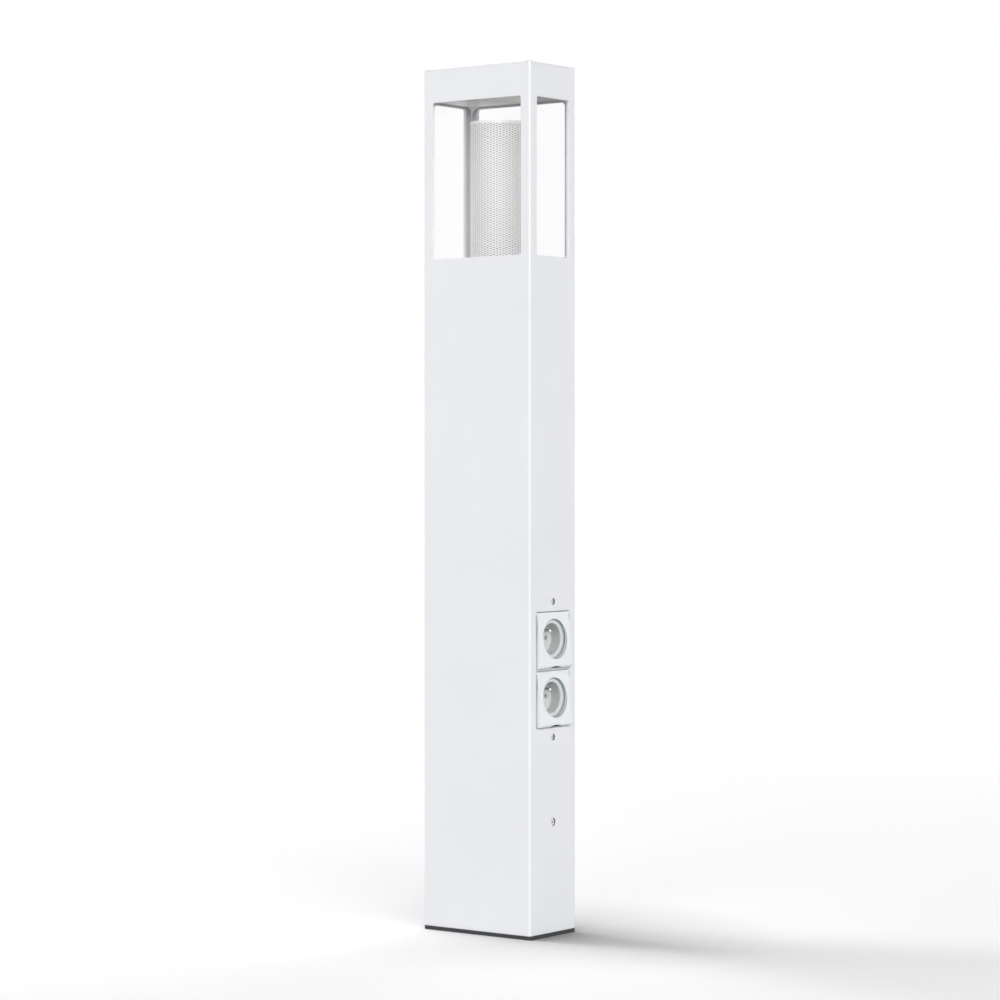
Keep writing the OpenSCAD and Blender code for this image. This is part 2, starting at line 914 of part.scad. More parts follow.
module lamp_holder() {
    color(plastic)
        translate([0, 0, floor_z])
            difference() {
                union() {
                    cylinder(d = holder_d, h = holder_h);
                    cylinder(d = holder_foot_d, h = holder_foot_h);
                }
                translate([0, 0, holder_h - lamp_cap_h])
                    cylinder(r = lamp_cap_d / 2 + slip, h = holder_h);
            }
}

module lamp_cap() {
    color(steel)
        translate([0, 0, lamp_z0]) {
            cylinder(d = lamp_cap_d, h = lamp_cap_h);
            translate([0, 0, -lamp_tip_h])
                cylinder(d = lamp_tip_d, h = lamp_tip_h + eps);
        }
}

module lamp_body() {
    color(plastic)
        translate([0, 0, lamp_z1])
            cylinder(r1 = neck_r, r2 = globe_r, h = lamp_body_h);
}

module lamp_globe() {
    color(opal)
        translate([0, 0, lamp_z2])
            intersection() {
                sphere(globe_r);
                cylinder(r = globe_r + eps, h = globe_r + eps);
            }
}

module screw_places() {
    for (s = [-1, 1])
        translate([0, 0, socket_z + s * screw_span / 2])
            children();
}

module socket_gasket() {
    color(rubber)
        difference() {
            plate_x(x_gasket, in_w, carrier_w, carrier_h, cut_r, socket_z);
            plate_x(x_gasket - eps, in_w + eps, cut_w, cut_h, cut_r, socket_z);
            screw_places()
                rod_x(carrier_screw_d / 2 + screw_fit, x_gasket - eps, in_w + eps, 0, 0);
        }
}

// what one outlet takes out of the frame
module frame_outlet_cut(k) {
    rod_x(well_out + slip, x_flange - eps, half_w, 0, well_z(k));
    rod_y(hinge_r + slip, lid_w + 2 * slip, x_frame, hinge_z(k));
    rod_y(hinge_bore, boss_w + 2 * eps, x_frame, hinge_z(k));
}

// lugs that hold one hinge pin beside the lid
module frame_lugs(k) {
    lug = boss_w / 2 - lid_w / 2 - slip;
    for (s = [-1, 1])
        translate([0, s * (boss_w - lug) / 2, 0])
            rod_y(hinge_r, lug, x_frame, hinge_z(k));
}

module socket_frame() {
    color(plastic)
        difference() {
            union() {
                plate_x(x_flange, x_gasket, carrier_w, carrier_h, cut_r, socket_z);
                plate_x(x_flange, x_frame, boss_w, boss_h, cut_r - slip, socket_z);
                frame_lugs(1);
                frame_lugs(-1);
            }
            frame_outlet_cut(1);
            frame_outlet_cut(-1);
            screw_places()
                rod_x(carrier_screw_d / 2 + screw_fit, x_flange - eps, x_gasket + eps, 0, 0);
        }
}

module socket_carrier() {
    color(zinc)
        difference() {
            plate_x(x_carrier, x_flange, carrier_w, carrier_h, cut_r, socket_z);
            for (k = [-1, 1])
                rod_x(well_out + slip, x_carrier - eps, x_flange + eps, 0, well_z(k));
            screw_places()
                rod_x(carrier_screw_d / 2 + run_fit, x_carrier - eps, x_flange + eps, 0, 0);
        }
}

module carrier_screws() {
    color(steel)
        screw_places()
            translate([screw_x, 0, 0])
                rotate([0, 90, 0])
                    low_screw(carrier_screw_d,
                              screw_x - x_carrier + carrier_screw_d * nut_h_ratio + screw_tail);
}

module carrier_nuts() {
    color(steel)
        screw_places()
            translate([x_carrier, 0, 0])
                rotate([0, -90, 0])
                    nut(carrier_screw_d);
}

module well(k) {
    color(plastic)
        difference() {
            union() {
                rod_x(well_out, x_floor, x_rim, 0, well_z(k));
                plate_x(x_collar, x_carrier, collar_s, collar_s, cut_r, well_z(k));
            }
            rod_x(well_r, x_floor - eps, x_rim + eps, 0, well_z(k));
        }
}

module well_upper() {
    well(1);
}

module well_lower() {
    well(-1);
}

module contact_block(k) {
    color(plastic)
        difference() {
            rod_x(well_out, x_block, x_floor, 0, well_z(k));
            for (s = [-1, 1])
                rod_x(contact_d / 2, x_block - eps, x_floor + eps,
                      s * contact_span / 2, well_z(k));
            rod_x(earth_d / 2 + run_fit, x_block - eps, x_floor + eps, 0, well_z(k) + earth_rise);
            intersection() {
                rod_x(well_r, x_floor - step_t, x_floor + eps, 0, well_z(k));
                block(x_block, half_w, -well_d, well_d, well_z(k) + step_rise, well_z(k) + well_d);
            }
        }
}

module contact_block_upper() {
    contact_block(1);
}

module contact_block_lower() {
    contact_block(-1);
}

module housing(k) {
    rib_z = shutter_h / 2 + slip;
    rib_t = earth_rise - earth_d / 2 - slip - rib_z;
    color(frame_grey)
        difference() {
            union() {
                difference() {
                    plate_x(x_back0, x_collar, 2 * house_out, 2 * house_out, cut_r, well_z(k));
                    plate_x(x_back1, x_collar + eps, 2 * house_in, 2 * house_in, bore_r, well_z(k));
                }
                plate_x(x_part0, x_part1, 2 * house_in, 2 * house_in, bore_r, well_z(k));
                for (s = [0, 1])
                    translate([0, 0, well_z(k)])
                        mirror([0, 0, s])
                            block(x_part0, x_block, -house_in, house_in, rib_z, rib_z + rib_t);
            }
            for (s = [-1, 1])
                rod_x(sleeve_out + run_fit, x_part0 - eps, x_part1 + eps,
                      s * contact_span / 2, well_z(k));
            rod_x(earth_d / 2 + run_fit, x_part0 - eps, x_part1 + eps, 0, well_z(k) + earth_rise);
        }
}

module housing_upper() {
    housing(1);
}

module housing_lower() {
    housing(-1);
}

module earth_pin(k) {
    r = earth_d / 2;
    tip = x_rim - earth_sink;
    color(brass) {
        rod_x(r, x_back1, tip - r, 0, well_z(k) + earth_rise);
        translate([tip - r, 0, well_z(k) + earth_rise])
            sphere(r);
    }
}

module earth_pin_upper() {
    earth_pin(1);
}

module earth_pin_lower() {
    earth_pin(-1);
}

module contacts(k) {
    color(brass)
        for (s = [-1, 1])
            difference() {
                rod_x(sleeve_out, x_back1, x_part1, s * contact_span / 2, well_z(k));
                rod_x(sleeve_in, x_back1 + sleeve_t, x_part1 + eps,
                      s * contact_span / 2, well_z(k));
            }
}

module contacts_upper() {
    contacts(1);
}

module contacts_lower() {
    contacts(-1);
}

module shutter(k) {
    color(frame_grey)
        difference() {
            block(x_shut0, x_shut1, shutter_y0, shutter_y1,
                  well_z(k) - shutter_h / 2, well_z(k) + shutter_h / 2);
            for (s = [-1, 1])
                rod_x(shutter_hole, x_shut0 - eps, x_shut1 + eps,
                      s * contact_span / 2 - shutter_travel, well_z(k));
        }
}

module shutter_upper() {
    shutter(1);
}

module shutter_lower() {
    shutter(-1);
}

module shutter_spring(k) {
    n = spring_sides;
    side = [for (i = [0 : spring_steps - 1], j = [0 : n - 1])
        let (a = i * n + j, b = i * n + (j + 1) % n)
        each [[a, b, a + n], [b, b + n, a + n]]];
    caps = [for (j = [1 : n - 2])
        each [[0, j + 1, j], [0, j, j + 1] + [1, 1, 1] * n * spring_steps]];
    color(steel)
        translate([spring_x, 0, well_z(k)])
            polyhedron([for (i = [0 : spring_steps]) each spring_ring(i)], concat(side, caps));
}

module shutter_spring_upper() {
    shutter_spring(1);
}

module shutter_spring_lower() {
    shutter_spring(-1);
}

module hinge_pin(k) {
    color(steel)
        rod_y(hinge_pin_d / 2, boss_w, x_frame, hinge_z(k));
}

module hinge_pin_upper() {
    hinge_pin(1);
}

module hinge_pin_lower() {
    hinge_pin(-1);
}

// wedge of a lid with its round lip, below the hinge axis at the origin
module lid_wedge() {
    rotate([90, 0, 0])
        linear_extrude(lid_w, center = true)
            polygon([[lid_gap, lid_foot], [lid_front - lip_r, lid_foot], [lid_front, lip_z],
                     [hinge_r, 0], [lid_gap, 0]]);
    intersection() {
        rod_y(lip_r, lid_w, lid_front - lip_r, lip_z);
        block(lid_front - lip_r, lid_front + eps, -lid_w, lid_w, lid_foot - eps, lip_z);
    }
}

// hollow behind the face of a lid, round the seat of its disc
module lid_hollow() {
    difference() {
        intersection() {
            translate([-lid_wall / cos(lid_tilt), 0, 0])
                lid_wedge();
            block(lid_gap - eps, lid_front, lid_wall - lid_w / 2, lid_w / 2 - lid_wall,
                  lid_foot + lid_wall, -hinge_r - lid_wall);
        }
        rod_x(disc_r + run_fit + seat_wall, lid_gap - 2 * eps, lid_front, 0, seat_z);
    }
}

// cutter that rounds one front side edge of a lid
module lid_edge_cut() {
    translate([hinge_r, lid_w / 2, 0])
        rotate([0, lid_tilt, 0])
            difference() {
                translate([-lid_edge_r, -lid_edge_r, -2 * lid_h])
                    cube([2 * lid_edge_r, 2 * lid_edge_r, 3 * lid_h]);
                translate([-lid_edge_r, -lid_edge_r, -2 * lid_h - eps])
                    cylinder(r = lid_edge_r, h = 3 * lid_h + 2 * eps);
            }
}

module lid(k) {
    color(plastic)
        translate([x_frame, 0, hinge_z(k)])
            difference() {
                union() {
                    rod_y(hinge_r, lid_w, 0, 0);
                    lid_wedge();
                }
                for (s = [0, 1])
                    mirror([0, s, 0])
                        lid_edge_cut();
                lid_hollow();
                rod_y(hinge_bore, lid_w + 2 * eps, 0, 0);
                rod_x(lid_hole_d / 2, lid_gap - eps, lid_front + eps, 0, seat_z);
                rod_x(disc_r + run_fit, lid_gap - eps, lid_gap + disc_t, 0, seat_z);
                rod_x(notch_r, lid_gap - eps, lid_front + eps, 0, lid_foot + notch_h - notch_r);
            }
}

module lid_upper() {
    lid(1);
}

module lid_lower() {
    lid(-1);
}

module lid_window(k) {
    color(glass)
        rod_x(disc_r, x_lid, x_lid + disc_t, 0, well_z(k));
}

module lid_window_upper() {
    lid_window(1);
}

module lid_window_lower() {
    lid_window(-1);
}

base_plate();
cable_grommet();
foot_bracket();
bracket_screws();
bracket_nuts();
foot_screws();
foot_nuts();
earth_stud();
earth_nut();
terminal_box();
terminal_lid();
terminal_block();
cable_glands();
post();
floor_ledges();
lantern_floor();
pane_front();
pane_rear();
pane_left();
pane_right();
seal_front();
seal_rear();
seal_left();
seal_right();
pane_retainers();
ceiling_tray();
top_cap();
cap_screws();
diffuser();
diffuser_collar();
diffuser_ring();
lamp_holder();
lamp_cap();
lamp_body();
lamp_globe();
socket_gasket();
socket_frame();
socket_carrier();
carrier_screws();
carrier_nuts();
well_upper();
well_lower();
contact_block_upper();
contact_block_lower();
housing_upper();
housing_lower();
earth_pin_upper();
earth_pin_lower();
contacts_upper();
contacts_lower();
shutter_upper();
shutter_lower();
shutter_spring_upper();
shutter_spring_lower();
hinge_pin_upper();
hinge_pin_lower();
lid_upper();
lid_lower();
lid_window_upper();
lid_window_lower();
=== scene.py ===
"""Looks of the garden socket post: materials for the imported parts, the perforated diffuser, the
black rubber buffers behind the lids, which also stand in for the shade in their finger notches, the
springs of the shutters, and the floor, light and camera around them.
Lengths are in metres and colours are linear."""

import json
import math

import bpy
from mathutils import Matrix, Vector


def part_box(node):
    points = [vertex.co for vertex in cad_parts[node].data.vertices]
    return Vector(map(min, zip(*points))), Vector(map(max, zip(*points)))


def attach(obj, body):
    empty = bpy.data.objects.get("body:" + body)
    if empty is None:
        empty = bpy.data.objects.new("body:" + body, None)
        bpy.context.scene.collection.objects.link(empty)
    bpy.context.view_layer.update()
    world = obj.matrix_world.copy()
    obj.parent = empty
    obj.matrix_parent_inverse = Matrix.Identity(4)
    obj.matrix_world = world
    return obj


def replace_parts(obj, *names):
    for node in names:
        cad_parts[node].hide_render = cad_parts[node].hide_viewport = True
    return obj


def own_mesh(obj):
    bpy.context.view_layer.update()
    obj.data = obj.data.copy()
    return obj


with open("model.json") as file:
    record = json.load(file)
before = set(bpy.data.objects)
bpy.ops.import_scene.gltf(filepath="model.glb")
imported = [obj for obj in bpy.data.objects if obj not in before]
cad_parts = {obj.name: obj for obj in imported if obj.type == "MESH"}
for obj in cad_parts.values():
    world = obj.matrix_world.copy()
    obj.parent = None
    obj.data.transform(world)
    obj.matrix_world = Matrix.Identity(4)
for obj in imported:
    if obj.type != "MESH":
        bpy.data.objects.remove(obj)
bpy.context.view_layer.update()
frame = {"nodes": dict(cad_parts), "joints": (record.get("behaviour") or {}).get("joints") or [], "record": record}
NODES = frame["nodes"]

# The two outlets, as the names of their parts end.
SIDES = ("upper", "lower")

# Perforated diffuser sheet: pitch up a column of holes, pitch from column to column, width and height
# of a hole, thickness, the plain band along each end, and the share of its map that each side takes.
HOLE_PITCH = 0.003
COLUMN_PITCH = 0.0042
HOLE_W = 0.0043
HOLE_H = 0.0013
SHEET_T = 0.0008
PLAIN_BAND = 0.0012
MAP_SHARE = 0.49

# Opal film behind the sheet: gap to the sheet, thickness, and facets around.
FILM_GAP = 0.0002
FILM_T = 0.0005
FILM_SIDES = 96

# Black rubber strip behind each lid, which also stands in for the shade in its finger notch: length, height,
# thickness, and steps in its round ends.
BUFFER_L = 0.056
BUFFER_H = 0.0026
BUFFER_T = 0.00025
BUFFER_ARC = 12

# Unevenness of a finish: scales of the noise in its tone and in its gloss, the range that holds most
# values of the noise, and the share by which the gloss varies.
TONE_SCALE = 9.0
GLOSS_SCALE = 40.0
NOISE_MIDDLE = (0.3, 0.7)
GLOSS_SPREAD = 0.1

# Fine bumps of a finish: scale of the noise and height.
PAINT_BUMPS = (2600, 0.000012)
PLASTIC_BUMPS = (1500, 0.000004)
COARSE_BUMPS = (1800, 0.00002)
METAL_BUMPS = (900, 0.000006)
SMOOTH_BUMPS = (900, 0.000004)

# Samples for rounded edges and for the openness of a place.
EDGE_SAMPLES = 4
OPENNESS_SAMPLES = 8

# Clear sheets: scales of the noise in their tint and in their waves, the least part of the tint, the
# power by which a reflection grows as the view turns, and its share face on and at a glance.
CLEAR_TINT_SCALE = 6.0
CLEAR_WAVE_SCALE = 30.0
CLEAR_LEAST = 0.998
CLEAR_POWER = 5.0
CLEAR_REFLECTION = (0.015, 0.8)

# Post: its white, the painted highlight along its rounded upright edges with its unevenness, and their radius.
POST_WHITE = (0.867, 0.875, 0.905)
EDGE_HIGHLIGHT_WHITE = (0.88, 0.885, 0.91)
EDGE_HIGHLIGHT_SPREAD = 0.01
EDGE_R = 0.0025

# Holes of the screws in the sides of the post: width seen beyond a screw head, and tone of the painted shade on
# the wall, which falls on both sides of the post along the line of each screw.
SCREW_RIM = 0.0004
SCREW_HOLE_SHADE_TONE = 0.1

# Lantern ceiling: its grey, the direction across it from corner to corner, where the painted shade begins
# and ends at the far corner, at the near corner and along the front, and the tone of the painted shade.
TRAY_GREY = (0.88, 0.88, 0.86)
TRAY_SLANT = (0.8, 0.6)
TRAY_FAR = (0.028, 0.048)
TRAY_NEAR = (-0.088, -0.055)
TRAY_FRONT = (-0.036, -0.018)
TRAY_SHADE_TONE = 0.25

# White plastic of the lids and their frame, with painted shade in their narrow hollows, the radius
# within which a lid takes painted shade on the wall of its round hole, and the tone of that shade.
MOULDED = dict(colour=(0.885, 0.915, 0.930), roughness=0.22, bumps=PLASTIC_BUMPS, edge=0.0006,
               shade_reach=0.01)
LID_HOLE_R = 0.0255
LID_HOLE_SHADE_TONE = 0.55

# Wells: the white of the rim, the painted shade that greys the wall and, less, the floor, and where each holds
# between floor (0) and rim (1).
WELL_RIM = (0.88, 0.90, 0.91)
WELL_WALL_SHADE = (0.51, 0.53, 0.525)
WELL_FLOOR_SHADE = (0.80, 0.82, 0.82)
WELL_SHADE_STOPS = ((0.03, WELL_FLOOR_SHADE), (0.06, WELL_WALL_SHADE), (0.86, WELL_WALL_SHADE), (0.95, WELL_RIM))

# Plain finishes, by the name of their material.
FINISHES = {
    "base_grey": dict(colour=(0.050, 0.053, 0.056), roughness=0.5, bumps=(1800, 0.00003),
                      edge=0.0006, spread=0.05, specular=0.25),
    "zinc_steel": dict(colour=(0.56, 0.58, 0.60), roughness=0.38, bumps=(600, 0.00001),
                       edge=0.0004, spread=0.06, metallic=0.9),
    # Steel of the screws, with a little painted shade in its narrow hollows.
    "screw_steel": dict(colour=(0.80, 0.80, 0.81), roughness=0.2, bumps=METAL_BUMPS,
                        edge=0.0002, spread=0.04, metallic=1.0, shade_reach=0.003, painted_shade_tone=0.9),
    "brass": dict(colour=(0.72, 0.55, 0.24), roughness=0.3, bumps=METAL_BUMPS,
                  edge=0.0002, spread=0.05, metallic=1.0),
    "pin_metal": dict(colour=(0.86, 0.86, 0.85), roughness=0.2, bumps=SMOOTH_BUMPS,
                      spread=0.03, metallic=1.0),
    "rubber_black": dict(colour=(0.03, 0.03, 0.032), roughness=0.7, bumps=(1200, 0.00003), spread=0.1),
    "seal_white": dict(colour=(0.86, 0.87, 0.88), roughness=0.6, bumps=(900, 0.00001)),
    # White plastic with painted shade in its narrow hollows, lighter than on the lids.
    "plastic_white": dict(painted_shade_tone=0.75, **MOULDED),
    "plastic_grey": dict(colour=(0.42, 0.43, 0.44), roughness=0.5, bumps=COARSE_BUMPS,
                         edge=0.0004, spread=0.02),
    "plastic_dark": dict(colour=(0.06, 0.062, 0.065), roughness=0.5, bumps=COARSE_BUMPS,
                         edge=0.0004, spread=0.04),
    "diffuser_white": dict(colour=(0.95, 0.95, 0.95), roughness=0.35, bumps=(1500, 0.000006)),
    "opal": dict(colour=(0.85, 0.85, 0.83), roughness=0.3, bumps=SMOOTH_BUMPS),
    # Film behind the holes: an opal tone darkened to grey, as painted shade seen through the holes.
    "opal_film": dict(colour=(0.44, 0.44, 0.43), roughness=0.5, bumps=SMOOTH_BUMPS),
}

# Clear finishes, by the name of their material.
CLEAR_FINISHES = {
    "clear_plastic": dict(colour=(0.985, 0.99, 0.99), roughness=0.03, wave=0.00002),
    "clear_glass": dict(colour=(1.0, 1.0, 1.0), roughness=0.01, wave=0.00001),
}

# Floor: half width, the distances from the post over which it runs out into plain white, its two
# colours, the scale of the noise between them, its roughness, and its colour in the light that it
# throws back at the post.
FLOOR_HALF = 14.0
FLOOR_FADE = (0.7, 2.4)
FLOOR_PALE = ((0.965, 0.965, 0.97), (0.975, 0.975, 0.98))
FLOOR_SCALE = 3.0
FLOOR_ROUGHNESS = 0.9
FLOOR_BOUNCE = (0.48, 0.48, 0.48)

# Painted contact shadow on the floor: its reach, its colour, and the lean that keeps it on the side
# away from the key light.
FLOOR_CONTACT = 0.3
FLOOR_SHADOW = (0.0, 0.0, 0.0)
FLOOR_LEAN = (-0.9, -0.3, 0.0)

# Surround: its strength as a light at the horizon and overhead, and its colour.
WORLD_STRENGTH = (0.60, 0.08)
WORLD_WHITE = (1.0, 1.0, 1.0, 1.0)

# Key light: place, target, width and length, and power in watts.
KEY_PLACE = (-4.0, -0.3, 5.7)
KEY_TARGET = (0, 0, 0.1)
KEY_SIZE = (2.4, 3.4)
KEY_POWER = 250

# Fill lights: the direction each comes from, what it adds to a white surface that faces it, and its
# spread in degrees.
FILLS = {
    "front_fill": ((0.25, -0.94, 0.22), 0.305, 40),
    "corner_fill": ((0.71, -0.56, 0.42), 0.33, 30),
    "side_fill": ((0.93, -0.16, 0.34), 0.19, 30),
    "rear_fill": ((-0.15, 0.97, 0.15), 0.42, 40),
}

# Camera, fitted to the edges of the tube: place, turn about Z and tip below level in radians, lens and
# sensor width in millimetres, and the distance up to which it sees.
CAMERA_PLACE = (2.4528, -3.2369, 0.601)
CAMERA_TURN = math.radians(37.145)
CAMERA_TIP = 0.0119
CAMERA_LENS = 113.98
CAMERA_SENSOR = 36.0
CAMERA_FAR = 60.0


# Shader nodes

def new_material(name):
    """An empty node material with one Principled shader on its output."""
    mat = bpy.data.materials.new(name)
    mat.use_nodes = True
    tree = mat.node_tree
    tree.nodes.clear()
    out = tree.nodes.new("ShaderNodeOutputMaterial")
    shader = tree.nodes.new("ShaderNodeBsdfPrincipled")
    tree.links.new(shader.outputs["BSDF"], out.inputs["Surface"])
    return mat, tree, shader


def show(tree, surface):
    """Puts a shader on the output of a tree."""
    out = next(n for n in tree.nodes if n.type.startswith("OUTPUT_"))
    tree.links.new(surface, out.inputs["Surface"])


def object_place(tree):
    """The place in object space."""
    return tree.nodes.new("ShaderNodeTexCoord").outputs["Object"]


def split(tree, vector):
    """The X, Y and Z sockets of a vector."""
    node = tree.nodes.new("ShaderNodeSeparateXYZ")
    tree.links.new(vector, node.inputs["Vector"])
    return node.outputs


def noise(tree, scale, detail=3.0):
    """A noise texture in object space."""
    tex = tree.nodes.new("ShaderNodeTexNoise")
    tex.inputs["Scale"].default_value = scale
    tex.inputs["Detail"].default_value = detail
    tree.links.new(object_place(tree), tex.inputs["Vector"])
    return tex.outputs["Fac"]


def ramp(tree, fac, stops):
    """A colour that runs through the given (place, colour) stops with fac."""
    node = tree.nodes.new("ShaderNodeValToRGB")
    scale = node.color_ramp.elements
    for place, colour in stops[1:-1]:
        scale.new(place).color = (*colour, 1.0)
    for i in (0, -1):
        scale[i].position, scale[i].color = stops[i][0], (*stops[i][1], 1.0)
    tree.links.new(fac, node.inputs["Fac"])
    return node.outputs["Color"]


def vary(tree, scale, low, high):
    """A colour that runs unevenly between low and high."""
    return ramp(tree, noise(tree, scale), list(zip(NOISE_MIDDLE, (low, high))))


def span(tree, value, source, target=(0.0, 1.0)):
    """The value mapped from one range to another, and held at its ends."""
    node = tree.nodes.new("ShaderNodeMapRange")
    node.inputs["From Min"].default_value, node.inputs["From Max"].default_value = source
    node.inputs["To Min"].default_value, node.inputs["To Max"].default_value = target
    tree.links.new(value, node.inputs["Value"])
    return node.outputs["Result"]


def math_node(tree, operation, first, second=None):
    """One socket, two sockets, or a socket and a number through one Math node."""
    node = tree.nodes.new("ShaderNodeMath")
    node.operation = operation
    tree.links.new(first, node.inputs[0])
    if isinstance(second, float):
        node.inputs[1].default_value = second
    elif second is not None:
        tree.links.new(second, node.inputs[1])
    return node.outputs["Value"]


def vector_node(tree, operation, first, second=None):
    """A vector socket, alone or with a fixed vector, through one Vector Math node."""
    node = tree.nodes.new("ShaderNodeVectorMath")
    node.operation = operation
    tree.links.new(first, node.inputs[0])
    if second is not None:
        node.inputs[1].default_value = second
    return node.outputs["Value" if operation == "LENGTH" else "Vector"]


def blend(tree, fac, low, high):
    """A colour between two colour sockets, or a fixed low colour and a socket."""
    mix = tree.nodes.new("ShaderNodeMix")
    mix.data_type = "RGBA"
    tree.links.new(fac, mix.inputs[0])
    if isinstance(low, tuple):
        mix.inputs[6].default_value = (*low, 1.0)
    else:
        tree.links.new(low, mix.inputs[6])
    tree.links.new(high, mix.inputs[7])
    return mix.outputs[2]


def mix_shaders(tree, fac, first, second):
    """A shader between two others."""
    mix = tree.nodes.new("ShaderNodeMixShader")
    tree.links.new(fac, mix.inputs["Fac"])
    tree.links.new(first, mix.inputs[1])
    tree.links.new(second, mix.inputs[2])
    return mix.outputs["Shader"]


def grain(tree, bumps, edge=0.0):
    """The normal of fine bumps over edges rounded by the given radius."""
    scale, height = bumps
    bump = tree.nodes.new("ShaderNodeBump")
    bump.inputs["Strength"].default_value = 1.0
    bump.inputs["Distance"].default_value = height
    tree.links.new(noise(tree, scale, detail=2.0), bump.inputs["Height"])
    if edge:
        bevel = tree.nodes.new("ShaderNodeBevel")
        bevel.samples = EDGE_SAMPLES
        bevel.inputs["Radius"].default_value = edge
        tree.links.new(bevel.outputs["Normal"], bump.inputs["Normal"])
    return bump.outputs["Normal"]


def openness(tree, reach, lean=None):
    """1 on open faces, and less where other faces stand within reach. With a lean, only those on the
    side that it points to count in full."""
    node = tree.nodes.new("ShaderNodeAmbientOcclusion")
    node.samples = OPENNESS_SAMPLES
    node.inputs["Distance"].default_value = reach
    if lean:
        normal = tree.nodes.new("ShaderNodeNewGeometry").outputs["Normal"]
        leaning = vector_node(tree, "NORMALIZE", vector_node(tree, "ADD", normal, lean))
        tree.links.new(leaning, node.inputs["Normal"])
    return node.outputs["AO"]


def beyond(tree, middle, radius):
    """1 where object space is further than radius from a line along X through middle, else 0."""
    away = vector_node(tree, "SUBTRACT", object_place(tree), middle)
    flat = vector_node(tree, "MULTIPLY", away, (0.0, 1.0, 1.0))
    return math_node(tree, "GREATER_THAN", vector_node(tree, "LENGTH", flat), radius)


# Materials

def shade(colour, factor):
    """A colour made darker or lighter."""
    return tuple(min(1.0, c * factor) for c in colour)


def coated(name, colour, roughness, bumps, edge=0.0, spread=0.012, specular=0.5, metallic=0.0,
           shade_reach=0.0, painted_shade_tone=0.55):
    """Paint, plastic or metal, a little uneven in tone and gloss and finely bumped, that takes painted
    shade of the given tone in hollows narrower than the given width."""
    mat, tree, shader = new_material(name)
    tint = vary(tree, TONE_SCALE, shade(colour, 1.0 - spread), shade(colour, 1.0 + spread))
    if shade_reach:
        tint = blend(tree, openness(tree, shade_reach), shade(colour, painted_shade_tone), tint)
    ends = (roughness * (1.0 - GLOSS_SPREAD), roughness * (1.0 + GLOSS_SPREAD))
    gloss = span(tree, noise(tree, GLOSS_SCALE), NOISE_MIDDLE, ends)
    tree.links.new(tint, shader.inputs["Base Color"])
    tree.links.new(gloss, shader.inputs["Roughness"])
    tree.links.new(grain(tree, bumps, edge), shader.inputs["Normal"])
    shader.inputs["Specular IOR Level"].default_value = specular
    shader.inputs["Metallic"].default_value = metallic
    return mat


def clear(name, colour, roughness, wave):
    """Clear sheet: what is behind it, tinted, under a reflection that grows towards a glancing view."""
    mat, tree, shader = new_material(name)
    tree.nodes.remove(shader)
    behind = tree.nodes.new("ShaderNodeBsdfTransparent")
    tint = vary(tree, CLEAR_TINT_SCALE, shade(colour, CLEAR_LEAST), colour)
    tree.links.new(tint, behind.inputs["Color"])
    gloss = tree.nodes.new("ShaderNodeBsdfGlossy")
    gloss.inputs["Roughness"].default_value = roughness
    tree.links.new(grain(tree, (CLEAR_WAVE_SCALE, wave)), gloss.inputs["Normal"])
    facing = tree.nodes.new("ShaderNodeLayerWeight")
    facing.inputs["Blend"].default_value = 0.5
    rise = math_node(tree, "POWER", facing.outputs["Facing"], CLEAR_POWER)
    share = span(tree, rise, (0.0, 1.0), CLEAR_REFLECTION)
    show(tree, mix_shaders(tree, share, behind.outputs["BSDF"], gloss.outputs["BSDF"]))
    return mat


def recolour(mat, colour_of):
    """Puts a new colour, made from the tree and its present colour, on the shader of a material."""
    tree = mat.node_tree
    socket = next(n for n in tree.nodes if n.type == "BSDF_PRINCIPLED").inputs["Base Color"]
    tree.links.new(colour_of(tree, socket.links[0].from_socket), socket)
    return mat


def screw_lines():
    """A point on the axis of each screw through the sides of the post, and the radius of its head."""
    lines = []
    for name in ("carrier_screws", "foot_screws"):
        low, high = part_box(name)
        radius = (high[1] - low[1]) / 2
        for z in sorted({round(low[2] + radius, 5), round(high[2] - radius, 5)}):
            lines.append(((0.0, (low[1] + high[1]) / 2, z), radius))
    return lines


def post_paint(name):
    """White powder coat, with a painted highlight along the rounded upright edges and painted shade
    in the holes of the screws."""
    half = [v - EDGE_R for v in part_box("post")[1][:2]]

    def by_place(tree, tint):
        places = split(tree, object_place(tree))
        masks = []
        for axis, limit in zip("XY", half):
            size = math_node(tree, "ABSOLUTE", places[axis])
            masks.append(math_node(tree, "GREATER_THAN", size, limit))
        # Painted highlight along the rounded upright edges.
        painted_highlight = vary(tree, TONE_SCALE, shade(EDGE_HIGHLIGHT_WHITE, 1.0 - EDGE_HIGHLIGHT_SPREAD), EDGE_HIGHLIGHT_WHITE)
        tint = blend(tree, math_node(tree, "MULTIPLY", *masks), tint, painted_highlight)
        # Painted shade in the screw holes, along a line through each screw.
        for middle, radius in screw_lines():
            outside = beyond(tree, middle, radius + SCREW_RIM)
            tint = blend(tree, outside, shade(POST_WHITE, SCREW_HOLE_SHADE_TONE), tint)
        return tint

    return recolour(coated(name, POST_WHITE, roughness=0.34, bumps=PAINT_BUMPS, edge=0.0012), by_place)


def tray_paint(name):
    """Grey of the lantern ceiling, with painted shade towards two corners and along the front."""

    def in_shade(tree, tint):
        places = split(tree, object_place(tree))
        parts = [math_node(tree, "MULTIPLY", places[a], share) for a, share in zip("XY", TRAY_SLANT)]
        slant = math_node(tree, "ADD", *parts)
        corners = math_node(tree, "MINIMUM", span(tree, slant, TRAY_FAR, (1.0, 0.0)),
                            span(tree, slant, TRAY_NEAR))
        light = math_node(tree, "MINIMUM", corners, span(tree, places["Y"], TRAY_FRONT))
        return blend(tree, light, shade(TRAY_GREY, TRAY_SHADE_TONE), tint)

    return recolour(coated(name, TRAY_GREY, roughness=0.4, bumps=PAINT_BUMPS, edge=0.0008), in_shade)


